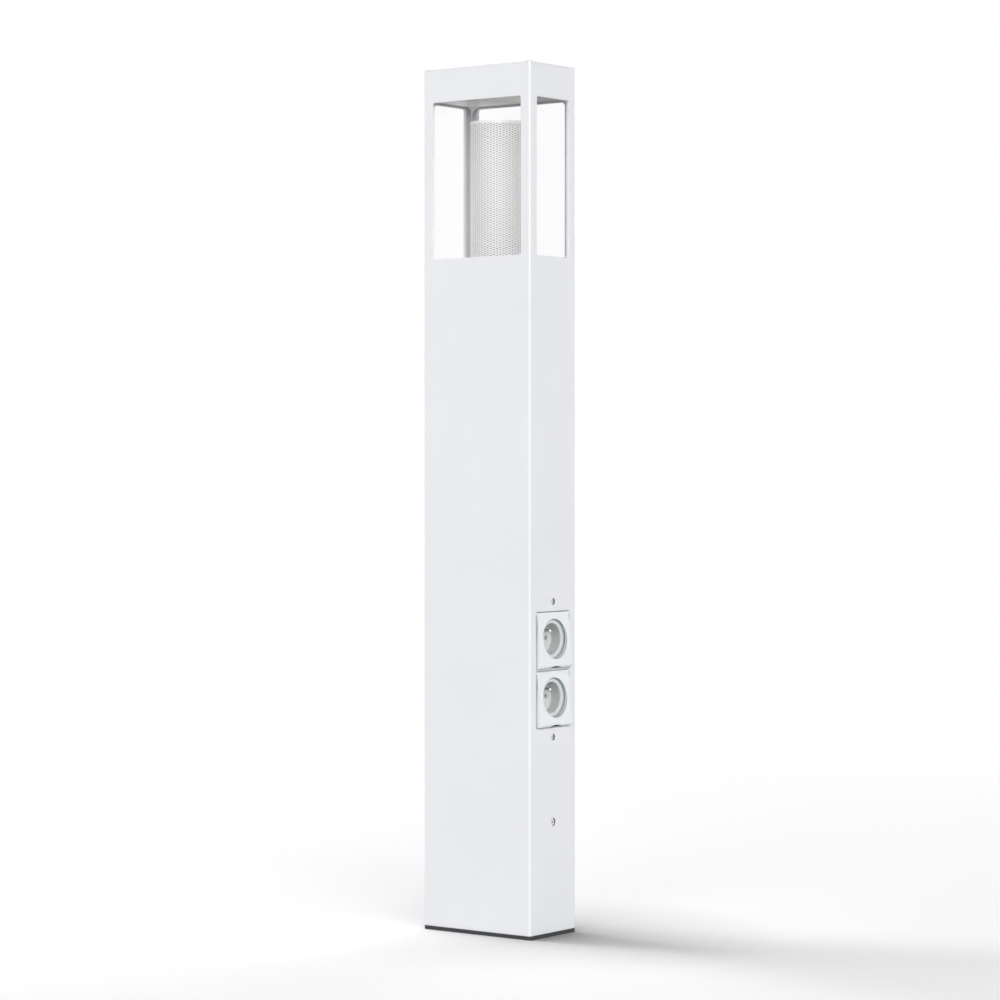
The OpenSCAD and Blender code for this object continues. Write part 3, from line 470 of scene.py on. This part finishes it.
def well_plastic(name):
    """Moulded white plastic of the wells along X, with painted shade that greys the wall and, less, the floor
    below the white rim.
    """
    floor_x, rim_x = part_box("contact_block_upper")[1][0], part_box("well_upper")[1][0]

    def shade_by_depth(tree, tint):
        depth = span(tree, split(tree, object_place(tree))["X"], (floor_x, rim_x))
        return ramp(tree, depth, WELL_SHADE_STOPS)

    return recolour(coated(name, WELL_RIM, roughness=0.3, bumps=PLASTIC_BUMPS, edge=0.0006), shade_by_depth)


def lid_plastic(name, side):
    """White plastic of one lid, with painted shade on the wall of its round hole."""
    low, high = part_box("lid_window_" + side)
    middle = [(a + b) / 2 for a, b in zip(low, high)]

    def shade_in_hole(tree, tint):
        wall = shade(MOULDED["colour"], LID_HOLE_SHADE_TONE)
        return blend(tree, beyond(tree, middle, LID_HOLE_R), wall, tint)

    return recolour(coated(name, **MOULDED), shade_in_hole)


def make_materials():
    """One material for each slot of the record, and those of the wells, the lids and the film."""
    mats = {name: coated(name, **look) for name, look in FINISHES.items()}
    mats.update({name: clear(name, **look) for name, look in CLEAR_FINISHES.items()})
    mats["post_white"] = post_paint("post_white")
    mats["tray_grey"] = tray_paint("tray_grey")
    mats["well_plastic"] = well_plastic("well_plastic")
    for side in SIDES:
        name = "lid_plastic_" + side
        mats[name] = lid_plastic(name, side)
    return mats


def paint_nodes(mats):
    """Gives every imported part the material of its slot, or the one made for it."""
    special = {}
    for side in SIDES:
        special["well_" + side] = special["contact_block_" + side] = "well_plastic"
        special["shutter_" + side] = "plastic_dark"
        special["lid_" + side] = "lid_plastic_" + side
    for part in frame["record"]["subparts"]:
        node = NODES[part["node"]]
        node.data.materials.clear()
        node.data.materials.append(mats[special.get(part["node"], part["material_slot"])])


# Pieces

def add_object(name, data):
    """A new object in the scene."""
    thing = bpy.data.objects.new(name, data)
    bpy.context.scene.collection.objects.link(thing)
    return thing


def add_piece(name, mesh, mat):
    """A new piece on the body of the post."""
    mesh.materials.append(mat)
    piece = add_object(name, mesh)
    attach(piece, "post_body")
    return piece


def joints_of(kind):
    """The joints of one type."""
    return [joint for joint in frame["joints"] if joint["type"] == kind]


class Sheet:
    """A sheet with staggered six-sided holes, rolled into a tube. A place on it is counted in thirds
    of a column across and in half pitches up. Side 0 is the outside and side 1 the inside."""

    # Corners of the cell around a hole, which is four thirds of a column wide and one pitch high.
    CORNERS = ((2, 0), (1, 1), (-1, 1), (-2, 0), (-1, -1), (1, -1))

    def __init__(self, radius, low, high):
        self.radius, self.low, self.high = radius, low, high
        self.columns = 2 * round(math.pi * radius / COLUMN_PITCH)
        self.around = 3 * self.columns
        self.rows = int((high - low - 2 * PLAIN_BAND) / HOLE_PITCH - 0.5)
        self.start = (high + low - (self.rows + 0.5) * HOLE_PITCH) / 2
        self.points, self.faces, self.places, self.known = [], [], [], {}

    def height(self, up):
        """The height of a place."""
        return self.start + up * HOLE_PITCH / 2

    def point(self, side, across, z):
        """The index of a point, which is made once."""
        key = (side, round(across % self.around, 4), round(z, 7))
        if key not in self.known:
            turn = 2 * math.pi * across / self.around
            reach = self.radius - side * SHEET_T
            self.known[key] = len(self.points)
            self.points.append((reach * math.cos(turn), reach * math.sin(turn), z))
        return self.known[key]

    def place(self, side, across, z):
        """Where a point lies on the flat map, with the outside below, the inside above and a column
        to spare at both ends."""
        u = (across + 3) / (self.around + 6)
        return u, MAP_SHARE * (z - self.low) / (self.high - self.low) + (1 - MAP_SHARE) * side

    def face(self, corners, side, places=None):
        """A face of (side, across, z) corners, turned over on the inside."""
        if side:
            corners = corners[::-1]
        self.faces.append([self.point(*c) for c in corners])
        self.places.append(places or [self.place(*c) for c in corners])

    def cell(self, column, up):
        """One hole with the web around it, on both sides, and the wall of the hole, which the map
        shows inside the hole."""
        middle = 3 * column
        wide, tall = 0.75 * HOLE_W / COLUMN_PITCH, HOLE_H / HOLE_PITCH
        outer, inner, core = (
            [(middle + a * x, self.height(up + b * y)) for a, b in self.CORNERS]
            for x, y in ((1, 1), (wide, tall), (wide / 2, tall / 2)))
        for i in range(len(self.CORNERS)):
            j = (i + 1) % len(self.CORNERS)
            for side in (0, 1):
                web = (outer[i], outer[j], inner[j], inner[i])
                self.face([(side, *corner) for corner in web], side)
            wall = [(0, *inner[i]), (0, *inner[j]), (1, *inner[j]), (1, *inner[i])]
            flat = [self.place(0, *p) for p in (inner[i], inner[j], core[j], core[i])]
            self.face(wall, 0, flat)

    def band(self, up_of, end):
        """The plain band between the outermost holes and an end of the tube, and the end face."""
        columns = range(self.columns + 1)
        edge = [(3 * c + a, self.height(up_of(c))) for c in columns for a in (-1, 1)]
        over = end > edge[0][1]
        for (a, z_a), (b, z_b) in zip(edge[:-2], edge[1:-1]):
            for side in (0, 1):
                strip = [(side, a, z_a), (side, b, z_b), (side, b, end), (side, a, end)]
                self.face(strip if over else strip[::-1], side)
            rim = [(0, a, end), (0, b, end), (1, b, end), (1, a, end)]
            self.face(rim if over else rim[::-1], 0)

    def build(self):
        """The mesh with its map."""
        for column in range(self.columns):
            for row in range(self.rows):
                self.cell(column, 2 * row + 1 + column % 2)
        self.band(lambda c: c % 2, self.low)
        self.band(lambda c: 2 * self.rows + c % 2, self.high)
        mesh = bpy.data.meshes.new("diffuser_sheet")
        mesh.from_pydata(self.points, [], self.faces)
        layer = mesh.uv_layers.new(name="OFBake")
        layer.uv.foreach_set("vector", [v for face in self.places for uv in face for v in uv])
        return mesh


def film_mesh(radius, low, high):
    """A thin open tube: outside, top edge, inside and bottom edge, with smooth sides."""
    rims = ((radius, low), (radius, high), (radius - FILM_T, high), (radius - FILM_T, low))
    turns = [2 * math.pi * i / FILM_SIDES for i in range(FILM_SIDES)]
    points = [(r * math.cos(t), r * math.sin(t), z) for t in turns for r, z in rims]
    faces = []
    count = len(rims)
    for i in range(FILM_SIDES):
        here, there = count * i, count * ((i + 1) % FILM_SIDES)
        for k in range(count):
            n = (k + 1) % count
            faces.append((here + k, there + k, there + n, here + n))
    mesh = bpy.data.meshes.new("diffuser_film")
    mesh.from_pydata(points, [], faces)
    mesh.polygons.foreach_set("use_smooth", [face % 2 == 0 for face in range(len(faces))])
    return mesh


def make_diffuser(mats):
    """The rolled perforated sheet and the film behind it, in place of the plain tube."""
    low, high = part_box("diffuser")
    radius = (high[0] - low[0]) / 2
    sheet = Sheet(radius, low[2], high[2]).build()
    film = film_mesh(radius - SHEET_T - FILM_GAP, low[2], high[2] - PLAIN_BAND)
    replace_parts(add_piece("diffuser_sheet", sheet, mats["diffuser_white"]), "diffuser")
    add_piece("diffuser_film", film, mats["opal_film"])


def buffer_mesh():
    """A flat strip with round ends and a chamfered face, lying in the YZ plane and facing along X."""
    r, chamfer = BUFFER_H / 2, BUFFER_T / 2
    turns = [math.pi * (i / BUFFER_ARC - 0.5) for i in range(BUFFER_ARC + 1)]
    arc = [(math.cos(t), math.sin(t)) for t in turns]
    rings = []
    for x, inset in ((0.0, 0.0), (BUFFER_T - chamfer, 0.0), (BUFFER_T, chamfer)):
        reach = r - inset
        right = [(x, BUFFER_L / 2 - r + reach * c, reach * s) for c, s in arc]
        left = [(x, r - BUFFER_L / 2 - reach * c, -reach * s) for c, s in arc]
        rings.append(right + left)
    n = len(rings[0])
    faces = [tuple(range(n))[::-1], tuple(range(2 * n, 3 * n))]
    for k in (0, n):
        faces += [(k + i, k + (i + 1) % n, k + n + (i + 1) % n, k + n + i) for i in range(n)]
    mesh = bpy.data.meshes.new("lid_buffer")
    mesh.from_pydata([p for ring in rings for p in ring], [], faces)
    return mesh


def make_notch_shade_buffers(mats):
    """The black rubber strip on the frame behind the finger notch of each lid, which also stands in for the shade
    in the notch.
    """
    for joint in joints_of("hinge"):
        lid = joint["child"].replace("_lid", "")
        piece = add_piece("lid_buffer_" + lid, buffer_mesh(), mats["rubber_black"])
        piece.location = (joint["pos_m"][0], 0.0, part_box("lid_" + lid)[0][2] + BUFFER_H / 2)


def make_springs(mats):
    """Springs of the shutters as pieces with meshes of their own, in place of the imported ones."""
    for joint in joints_of("slide"):
        name = joint["deforming_nodes"][0]["node"]
        mesh = NODES[name].data.copy()
        mesh.materials.clear()
        piece = add_piece(name + "_wire", mesh, mats["screw_steel"])
        piece.matrix_world = NODES[name].matrix_world
        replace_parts(piece, name)
        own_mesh(piece)


# Stage

def shown_ray(tree):
    """1 for the rays that show the background: straight to the camera, in a reflection or through
    glass."""
    path = tree.nodes.new("ShaderNodeLightPath").outputs
    seen = math_node(tree, "MAXIMUM", path["Is Camera Ray"], path["Is Glossy Ray"])
    return math_node(tree, "MAXIMUM", seen, path["Is Transmission Ray"])


def floor_material():
    """Pale floor that keeps the shadow, darkened by a painted contact shadow near the post, and runs out into
    plain white away from the object.
    """
    mat, tree, shader = new_material("floor_white")
    shader.inputs["Roughness"].default_value = FLOOR_ROUGHNESS
    shader.inputs["Specular IOR Level"].default_value = 0.0
    pale = vary(tree, FLOOR_SCALE, *FLOOR_PALE)
    shown = blend(tree, openness(tree, FLOOR_CONTACT, FLOOR_LEAN), FLOOR_SHADOW, pale)
    tint = blend(tree, shown_ray(tree), FLOOR_BOUNCE, shown)
    tree.links.new(tint, shader.inputs["Base Color"])
    away = span(tree, vector_node(tree, "LENGTH", object_place(tree)), FLOOR_FADE)
    white = math_node(tree, "MULTIPLY", away, shown_ray(tree))
    glow = tree.nodes.new("ShaderNodeEmission")
    show(tree, mix_shaders(tree, white, shader.outputs["BSDF"], glow.outputs["Emission"]))
    return mat


def make_floor():
    """One wide square under the post."""
    mesh = bpy.data.meshes.new("floor")
    s = FLOOR_HALF
    mesh.from_pydata([(-s, -s, 0), (s, -s, 0), (s, s, 0), (-s, s, 0)], [], [(0, 1, 2, 3)])
    mesh.materials.append(floor_material())
    floor = add_object("floor", mesh)


def make_world():
    """White surround, whose light comes more from around than from straight above."""
    world = bpy.data.worlds.new("surround")
    bpy.context.scene.world = world
    world.use_nodes = True
    tree = world.node_tree
    tree.nodes.clear()
    tree.nodes.new("ShaderNodeOutputWorld")
    up = split(tree, tree.nodes.new("ShaderNodeTexCoord").outputs["Generated"])["Z"]
    light, seen = (tree.nodes.new("ShaderNodeBackground") for _ in range(2))
    for back in (light, seen):
        back.inputs["Color"].default_value = WORLD_WHITE
    tree.links.new(span(tree, up, (0.0, 1.0), WORLD_STRENGTH), light.inputs["Strength"])
    backs = (light.outputs["Background"], seen.outputs["Background"])
    show(tree, mix_shaders(tree, shown_ray(tree), *backs))


def aim(thing, axis, direction):
    """Turns an object so that one of its axes points in a direction."""
    thing.rotation_mode = "QUATERNION"
    thing.rotation_quaternion = Vector(direction).to_track_quat(axis, "Y")


def make_lights():
    """A high key on the left that throws the shadow to the right, and even soft fills all around."""
    data = bpy.data.lights.new("key", "AREA")
    data.shape = "RECTANGLE"
    data.size, data.size_y = KEY_SIZE
    data.energy = KEY_POWER
    key = add_object("key", data)
    key.location = KEY_PLACE
    key.visible_camera = False
    aim(key, "-Z", Vector(KEY_TARGET) - Vector(KEY_PLACE))
    for name, (towards, value, spread) in FILLS.items():
        data = bpy.data.lights.new(name, "SUN")
        data.energy = math.pi * value
        data.angle = math.radians(spread)
        aim(add_object(name, data), "Z", towards)


def make_camera():
    """Long lens on the corner between the wide face and the socket side."""
    data = bpy.data.cameras.new("camera")
    data.sensor_width = CAMERA_SENSOR
    data.lens = CAMERA_LENS
    data.clip_end = CAMERA_FAR
    cam = add_object("camera", data)
    cam.location = CAMERA_PLACE
    level = math.cos(CAMERA_TIP)
    ahead = (-math.sin(CAMERA_TURN) * level, math.cos(CAMERA_TURN) * level, -math.sin(CAMERA_TIP))
    aim(cam, "-Z", ahead)
    bpy.context.scene.camera = cam


MATS = make_materials()
paint_nodes(MATS)
make_diffuser(MATS)
make_notch_shade_buffers(MATS)
make_springs(MATS)
make_floor()
make_world()
make_lights()
make_camera()
bpy.context.scene.view_settings.view_transform = "Standard"
